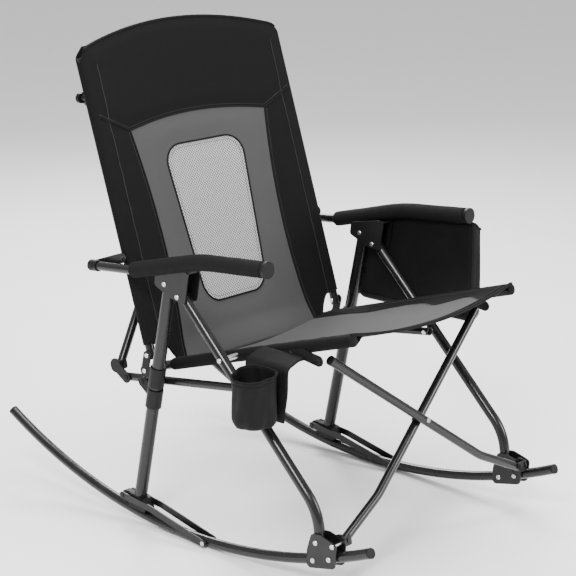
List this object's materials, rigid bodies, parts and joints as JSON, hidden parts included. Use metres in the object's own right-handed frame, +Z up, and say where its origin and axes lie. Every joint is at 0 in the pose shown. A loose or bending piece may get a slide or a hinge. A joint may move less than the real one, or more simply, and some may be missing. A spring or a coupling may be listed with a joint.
{
  "type": "camp rocking chair",
  "caption": "Folding camp rocking chair: steel tube frame on curved rockers, fabric sling seat and high back with mesh window, padded armrests, cup holder and cooler bag.",
  "frame": {"origin": "on the floor, midway between the two rockers, at the rockers' lowest point", "axes": "+Z up, +X to the sitter's left, -Y is the way the sitter faces"},
  "size_m": [0.8045, 1.0986, 1.0639],
  "materials": {
    "frame_tube": "semi-gloss black powder coat",
    "frame_plate": "satin black powder coat",
    "rivet": "bright domed steel",
    "black_plastic": "moulded black nylon, fine grain",
    "armrest_foam": "matte black foam sleeve",
    "seat_fabric": "woven polyester, grey centre with charcoal sides",
    "back_fabric": "woven polyester, black and grey with a light mesh window",
    "cup_holder_fabric": "black nylon",
    "cooler_bag_fabric": "black nylon with piped edges"
  },
  "bodies": {
    "right_rocker": {"right_rocker_tube": "frame_tube", "right_rocker_caps": "black_plastic", "right_foot_bracket": "frame_plate", "right_rocker_rivets": "rivet"},
    "right_front_leg": {"right_front_leg": "frame_tube", "right_front_leg_pivots": "rivet"},
    "right_armrest": {"right_armrest_tube": "frame_tube", "right_armrest_pad": "armrest_foam", "right_armrest_caps": "black_plastic", "right_armrest_bracket": "frame_plate", "right_armrest_rivets": "rivet"},
    "right_rear_leg": {"right_rear_leg": "frame_tube", "right_rear_foot": "black_plastic"},
    "right_upper_collar": {"right_upper_collar": "black_plastic", "right_upper_collar_pins": "rivet"},
    "right_lower_collar": {"right_lower_collar": "black_plastic"},
    "right_upright": {"right_back_upright": "frame_tube", "right_back_knob": "black_plastic", "right_arm_hinge_plate": "frame_plate", "back": "back_fabric"},
    "right_seat_rail": {"right_seat_rail": "frame_tube", "right_rail_hub": "black_plastic", "seat": "seat_fabric", "cup_holder": "cup_holder_fabric"},
    "right_side_bar": {"right_side_bar": "frame_tube"},
    "right_truss": {"right_truss_bars": "frame_plate"},
    "right_yoke": {"right_brace_yoke": "frame_plate"},
    "left_rocker": {"left_rocker_tube": "frame_tube", "left_rocker_caps": "black_plastic", "left_foot_bracket": "frame_plate", "left_rocker_rivets": "rivet"},
    "left_front_leg": {"left_front_leg": "frame_tube", "left_front_leg_pivots": "rivet"},
    "left_armrest": {"left_armrest_tube": "frame_tube", "left_armrest_pad": "armrest_foam", "left_armrest_caps": "black_plastic", "left_armrest_bracket": "frame_plate", "left_armrest_rivets": "rivet", "cooler_bag": "cooler_bag_fabric"},
    "left_rear_leg": {"left_rear_leg": "frame_tube", "left_rear_foot": "black_plastic"},
    "left_upper_collar": {"left_upper_collar": "black_plastic", "left_upper_collar_pins": "rivet"},
    "left_lower_collar": {"left_lower_collar": "black_plastic"},
    "left_upright": {"left_back_upright": "frame_tube", "left_back_knob": "black_plastic", "left_arm_hinge_plate": "frame_plate"},
    "left_seat_rail": {"left_seat_rail": "frame_tube", "left_rail_hub": "black_plastic"},
    "left_side_bar": {"left_side_bar": "frame_tube"},
    "left_truss": {"left_truss_bars": "frame_plate"},
    "left_yoke": {"left_brace_yoke": "frame_plate"},
    "right_knuckle": {"right_rear_knuckle": "black_plastic"},
    "left_knuckle": {"left_rear_knuckle": "black_plastic"},
    "front_brace_right": {"front_brace_right": "frame_tube", "front_brace_rivet": "rivet"},
    "front_brace_left": {"front_brace_left": "frame_tube"},
    "rear_brace_right": {"rear_brace_right": "frame_tube", "rear_brace_rivet": "rivet"},
    "rear_brace_left": {"rear_brace_left": "frame_tube"}
  },
  "joints": [
    {"name": "fold", "type": "hinge", "parent": "right_rocker", "child": "right_front_leg", "pos_m": [-0.313, -0.368, 0.104], "axis": [1, 0, 0], "range_deg": [0, 50.54], "deforming": ["seat", "back"]},
    {"name": "right_armrest_turn", "type": "hinge", "parent": "right_front_leg", "child": "right_armrest", "pos_m": [-0.313, 0.015, 0.541], "axis": [1, 0, 0], "range_deg": [-58.51, 0]},
    {"name": "right_rear_leg_turn", "type": "hinge", "parent": "right_armrest", "child": "right_rear_leg", "pos_m": [-0.313, 0.0526, 0.562], "axis": [1, 0, 0], "range_deg": [0, 24.51]},
    {"name": "right_upper_collar_slide", "type": "slide", "parent": "right_rear_leg", "child": "right_upper_collar", "axis": [0, 0.2044, -0.9789], "range_m": [0, 0.12281]},
    {"name": "right_lower_collar_slide", "type": "slide", "parent": "right_rear_leg", "child": "right_lower_collar", "axis": [0, 0.2044, -0.9789], "range_m": [0, 0.21749]},
    {"name": "right_upright_turn", "type": "hinge", "parent": "right_upper_collar", "child": "right_upright", "pos_m": [-0.313, 0.13, 0.387], "axis": [1, 0, 0], "range_deg": [0, 13.2]},
    {"name": "right_seat_rail_turn", "type": "hinge", "parent": "right_front_leg", "child": "right_seat_rail", "pos_m": [-0.313, -0.1, 0.426], "axis": [1, 0, 0], "range_deg": [-58.84, 0]},
    {"name": "right_side_bar_turn", "type": "hinge", "parent": "right_front_leg", "child": "right_side_bar", "pos_m": [-0.313, -0.158, 0.368], "axis": [1, 0, 0], "range_deg": [-68.14, 0]},
    {"name": "right_truss_turn", "type": "hinge", "parent": "right_rocker", "child": "right_truss", "pos_m": [-0.313, -0.05, 0.01201], "axis": [1, 0, 0], "range_deg": [0, 100.28]},
    {"name": "left_fold", "type": "hinge", "parent": "left_rocker", "child": "left_front_leg", "pos_m": [0.313, -0.368, 0.104], "axis": [1, 0, 0], "range_deg": [0, 50.54]},
    {"name": "left_armrest_turn", "type": "hinge", "parent": "left_front_leg", "child": "left_armrest", "pos_m": [0.313, 0.015, 0.541], "axis": [1, 0, 0], "range_deg": [-58.51, 0]},
    {"name": "left_rear_leg_turn", "type": "hinge", "parent": "left_armrest", "child": "left_rear_leg", "pos_m": [0.313, 0.0526, 0.562], "axis": [1, 0, 0], "range_deg": [0, 24.51]},
    {"name": "left_upper_collar_slide", "type": "slide", "parent": "left_rear_leg", "child": "left_upper_collar", "axis": [0, 0.2044, -0.9789], "range_m": [0, 0.12281]},
    {"name": "left_lower_collar_slide", "type": "slide", "parent": "left_rear_leg", "child": "left_lower_collar", "axis": [0, 0.2044, -0.9789], "range_m": [0, 0.21749]},
    {"name": "left_upright_turn", "type": "hinge", "parent": "left_upper_collar", "child": "left_upright", "pos_m": [0.313, 0.13, 0.387], "axis": [1, 0, 0], "range_deg": [0, 13.2]},
    {"name": "left_seat_rail_turn", "type": "hinge", "parent": "left_front_leg", "child": "left_seat_rail", "pos_m": [0.313, -0.1, 0.426], "axis": [1, 0, 0], "range_deg": [-58.84, 0]},
    {"name": "left_side_bar_turn", "type": "hinge", "parent": "left_front_leg", "child": "left_side_bar", "pos_m": [0.313, -0.158, 0.368], "axis": [1, 0, 0], "range_deg": [-68.14, 0]},
    {"name": "left_truss_turn", "type": "hinge", "parent": "left_rocker", "child": "left_truss", "pos_m": [0.313, -0.05, 0.01201], "axis": [1, 0, 0], "range_deg": [0, 100.28]},
    {"name": "right_yoke_tilt", "type": "hinge", "parent": "right_rocker", "child": "right_yoke", "pos_m": [-0.313, -0.412, 0.108], "axis": [1, 0, 0], "range_deg": [0, 41.56]},
    {"name": "front_brace_lift", "type": "hinge", "parent": "right_yoke", "child": "front_brace_right", "pos_m": [-0.28, -0.412, 0.108], "axis": [0, -0.9724, 0.2335], "range_deg": [0, 22.18]},
    {"name": "front_brace_cross", "type": "hinge", "parent": "front_brace_right", "child": "front_brace_left", "pos_m": [0, -0.37094, 0.27901], "axis": [0, -0.9724, 0.2335], "range_deg": [-44.36, 0]},
    {"name": "left_yoke_lift", "type": "hinge", "parent": "front_brace_left", "child": "left_yoke", "pos_m": [0.28, -0.412, 0.108], "axis": [0, -0.9724, 0.2335], "range_deg": [0, 22.18]},
    {"name": "left_yoke_tilt", "type": "hinge", "parent": "left_yoke", "child": "left_rocker", "pos_m": [0.313, -0.412, 0.108], "axis": [1, 0, 0], "range_deg": [-41.56, 0]},
    {"name": "right_knuckle_tilt", "type": "hinge", "parent": "right_side_bar", "child": "right_knuckle", "pos_m": [-0.285, 0.21408, 0.31513], "axis": [1, 0, 0], "range_deg": [0, 46.52]},
    {"name": "left_knuckle_tilt", "type": "hinge", "parent": "left_side_bar", "child": "left_knuckle", "pos_m": [0.285, 0.21408, 0.31513], "axis": [1, 0, 0], "range_deg": [0, 46.52]},
    {"name": "rear_brace_lift", "type": "hinge", "parent": "right_knuckle", "child": "rear_brace_right", "pos_m": [-0.281, 0.238, 0.338], "axis": [0, -0.9785, 0.2062], "range_deg": [0, 14.39]},
    {"name": "rear_brace_cross", "type": "hinge", "parent": "rear_brace_right", "child": "rear_brace_left", "pos_m": [0, 0.30298, 0.64641], "axis": [0, -0.9785, 0.2062], "range_deg": [-28.77, 0]}
  ],
  "couplings": [
    {"joint": "right_armrest_turn", "follows": "fold", "ratio": -1.1577},
    {"joint": "right_rear_leg_turn", "follows": "fold", "ratio": 0.48491},
    {"joint": "right_upper_collar_slide", "follows": "fold", "m_per_rad": 0.13924},
    {"joint": "right_lower_collar_slide", "follows": "fold", "m_per_rad": 0.24658},
    {"joint": "right_upright_turn", "follows": "fold", "ratio": 0.26118},
    {"joint": "right_seat_rail_turn", "follows": "fold", "ratio": -1.1644},
    {"joint": "right_side_bar_turn", "follows": "fold", "ratio": -1.3484},
    {"joint": "right_truss_turn", "follows": "fold", "ratio": 1.9843},
    {"joint": "left_fold", "follows": "fold", "ratio": 1},
    {"joint": "left_armrest_turn", "follows": "fold", "ratio": -1.1577},
    {"joint": "left_rear_leg_turn", "follows": "fold", "ratio": 0.48491},
    {"joint": "left_upper_collar_slide", "follows": "fold", "m_per_rad": 0.13924},
    {"joint": "left_lower_collar_slide", "follows": "fold", "m_per_rad": 0.24658},
    {"joint": "left_upright_turn", "follows": "fold", "ratio": 0.26118},
    {"joint": "left_seat_rail_turn", "follows": "fold", "ratio": -1.1644},
    {"joint": "left_side_bar_turn", "follows": "fold", "ratio": -1.3484},
    {"joint": "left_truss_turn", "follows": "fold", "ratio": 1.9843},
    {"joint": "right_yoke_tilt", "follows": "fold", "ratio": 0.82231},
    {"joint": "front_brace_lift", "follows": "fold", "ratio": 0.4389},
    {"joint": "front_brace_cross", "follows": "fold", "ratio": -0.8778},
    {"joint": "left_yoke_lift", "follows": "fold", "ratio": 0.4389},
    {"joint": "left_yoke_tilt", "follows": "fold", "ratio": -0.82231},
    {"joint": "right_knuckle_tilt", "follows": "fold", "ratio": 0.92064},
    {"joint": "left_knuckle_tilt", "follows": "fold", "ratio": 0.92064},
    {"joint": "rear_brace_lift", "follows": "fold", "ratio": 0.28465},
    {"joint": "rear_brace_cross", "follows": "fold", "ratio": -0.56931}
  ]
}
